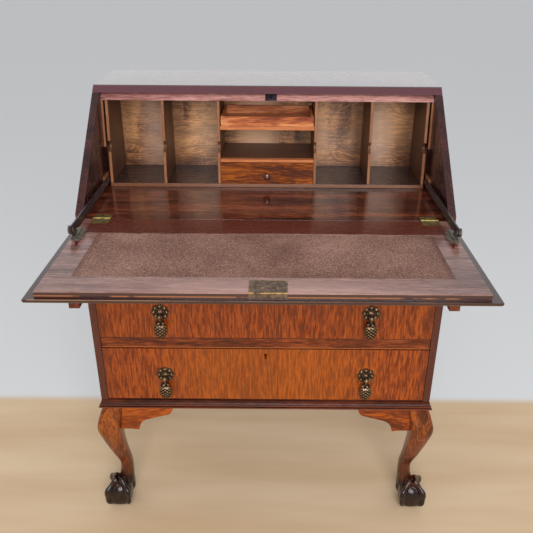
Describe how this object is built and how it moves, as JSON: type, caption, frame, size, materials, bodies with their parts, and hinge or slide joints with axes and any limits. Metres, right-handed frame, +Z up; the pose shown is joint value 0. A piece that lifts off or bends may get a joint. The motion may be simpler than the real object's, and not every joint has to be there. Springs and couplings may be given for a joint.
{
  "type": "writing bureau",
  "caption": "Slope-front writing bureau with an opening fall, pigeonholes, long drawers, cabriole legs and claw-and-ball feet.",
  "frame": {"origin": "on the floor, at the middle of the bounding box seen from above, with the fall open", "axes": "+X to the right seen from the front, +Y towards the back, +Z up"},
  "size_m": [0.805, 0.7308, 1.005],
  "materials": {
    "dark_mahogany": "polished, dark",
    "warm_mahogany": "polished, warm",
    "polished_mahogany": "french polished",
    "raw_wood": "raw edges",
    "oak": "figured oak, waxed",
    "leg_wood": "polished, near black at the feet",
    "leather": "grained",
    "brass": "worn",
    "aged_brass": "dark, worn",
    "black_steel": "blackened"
  },
  "bodies": {
    "carcass": {"case_side_right": "dark_mahogany", "case_side_left": "dark_mahogany", "base_board": "dark_mahogany", "middle_rail": "warm_mahogany", "loper_frame": "dark_mahogany", "writing_board": "polished_mahogany", "top_board": "dark_mahogany", "stop_rail": "raw_wood", "strike_plate": "black_steel", "back_panel": "oak", "front_leg_right": "leg_wood", "front_leg_left": "leg_wood", "back_leg_right": "leg_wood", "back_leg_left": "leg_wood", "front_bracket_right": "leg_wood", "front_bracket_left": "leg_wood", "unit_floor": "raw_wood", "unit_back": "oak", "divider_inner_right": "raw_wood", "divider_inner_left": "raw_wood", "divider_middle_right": "raw_wood", "divider_middle_left": "raw_wood", "divider_outer_right": "raw_wood", "divider_outer_left": "raw_wood", "upper_shelf": "raw_wood", "lower_shelf": "raw_wood", "hinge_case_leaf_right": "brass", "hinge_case_leaf_left": "brass", "stay_guide_right": "raw_wood", "stay_guide_left": "raw_wood"},
    "fall": {"fall_panel": "polished_mahogany", "fall_insert": "leather", "fall_lock": "brass", "hinge_fall_leaf_right": "brass", "hinge_fall_leaf_left": "brass", "stay_bracket_right": "black_steel", "stay_bracket_left": "black_steel"},
    "stay_arm_right": {"stay_arm_right": "black_steel"},
    "loper_right": {"loper_right": "warm_mahogany"},
    "stay_arm_left": {"stay_arm_left": "black_steel"},
    "loper_left": {"loper_left": "warm_mahogany"},
    "lower_drawer": {"lower_drawer": "warm_mahogany", "lower_rosette_right": "aged_brass", "lower_rosette_left": "aged_brass"},
    "upper_drawer": {"upper_drawer": "warm_mahogany", "upper_rosette_right": "aged_brass", "upper_rosette_left": "aged_brass"},
    "top_drawer": {"top_drawer": "warm_mahogany", "top_rosette_right": "aged_brass", "top_rosette_left": "aged_brass"},
    "lower_drop_right": {"lower_drop_right": "aged_brass"},
    "lower_drop_left": {"lower_drop_left": "aged_brass"},
    "upper_drop_right": {"upper_drop_right": "aged_brass"},
    "upper_drop_left": {"upper_drop_left": "aged_brass"},
    "top_drop_right": {"top_drop_right": "aged_brass"},
    "top_drop_left": {"top_drop_left": "aged_brass"},
    "small_drawer": {"small_drawer": "oak", "small_drawer_knob": "dark_mahogany"},
    "letter_tray": {"letter_tray": "oak"}
  },
  "joints": [
    {"name": "fall_hinge", "type": "hinge", "parent": "carcass", "child": "fall", "pos_m": [0, -0.06713, 0.783], "axis": [1, 0, 0], "range_deg": [-136.99, 0]},
    {"name": "stay_arm_right_pivot", "type": "hinge", "parent": "fall", "child": "stay_arm_right", "pos_m": [0.3571, -0.16513, 0.803], "axis": [-1, 0, 0], "range_deg": [-136.99, 0]},
    {"name": "loper_right_slide", "type": "slide", "parent": "carcass", "child": "loper_right", "axis": [0, -1, 0], "range_m": [-0.15, 0]},
    {"name": "stay_arm_left_pivot", "type": "hinge", "parent": "fall", "child": "stay_arm_left", "pos_m": [-0.3571, -0.16513, 0.803], "axis": [-1, 0, 0], "range_deg": [-136.99, 0]},
    {"name": "loper_left_slide", "type": "slide", "parent": "carcass", "child": "loper_left", "axis": [0, -1, 0], "range_m": [-0.15, 0]},
    {"name": "lower_drawer_slide", "type": "slide", "parent": "carcass", "child": "lower_drawer", "axis": [0, -1, 0], "range_m": [0, 0.28]},
    {"name": "upper_drawer_slide", "type": "slide", "parent": "carcass", "child": "upper_drawer", "axis": [0, -1, 0], "range_m": [0, 0.28]},
    {"name": "top_drawer_slide", "type": "slide", "parent": "carcass", "child": "top_drawer", "axis": [0, -1, 0], "range_m": [0, 0.28]},
    {"name": "lower_drop_right_swing", "type": "hinge", "parent": "lower_drawer", "child": "lower_drop_right", "pos_m": [0.227, -0.08213, 0.3966], "axis": [-1, 0, 0], "range_deg": [0, 80]},
    {"name": "lower_drop_left_swing", "type": "hinge", "parent": "lower_drawer", "child": "lower_drop_left", "pos_m": [-0.227, -0.08213, 0.3966], "axis": [-1, 0, 0], "range_deg": [0, 80]},
    {"name": "upper_drop_right_swing", "type": "hinge", "parent": "upper_drawer", "child": "upper_drop_right", "pos_m": [0.227, -0.08213, 0.56135], "axis": [-1, 0, 0], "range_deg": [0, 80]},
    {"name": "upper_drop_left_swing", "type": "hinge", "parent": "upper_drawer", "child": "upper_drop_left", "pos_m": [-0.227, -0.08213, 0.56135], "axis": [-1, 0, 0], "range_deg": [0, 80]},
    {"name": "top_drop_right_swing", "type": "hinge", "parent": "top_drawer", "child": "top_drop_right", "pos_m": [0.227, -0.08213, 0.7096], "axis": [-1, 0, 0], "range_deg": [0, 80]},
    {"name": "top_drop_left_swing", "type": "hinge", "parent": "top_drawer", "child": "top_drop_left", "pos_m": [-0.227, -0.08213, 0.7096], "axis": [-1, 0, 0], "range_deg": [0, 80]},
    {"name": "small_drawer_slide", "type": "slide", "parent": "carcass", "child": "small_drawer", "axis": [0, -1, 0], "range_m": [0, 0.09]},
    {"name": "letter_tray_slide", "type": "slide", "parent": "carcass", "child": "letter_tray", "axis": [0, -1, 0], "range_m": [0, 0.08]}
  ],
  "couplings": [
    {"joint": "stay_arm_right_pivot", "follows": "fall_hinge", "ratio": 1},
    {"joint": "stay_arm_left_pivot", "follows": "fall_hinge", "ratio": 1}
  ]
}
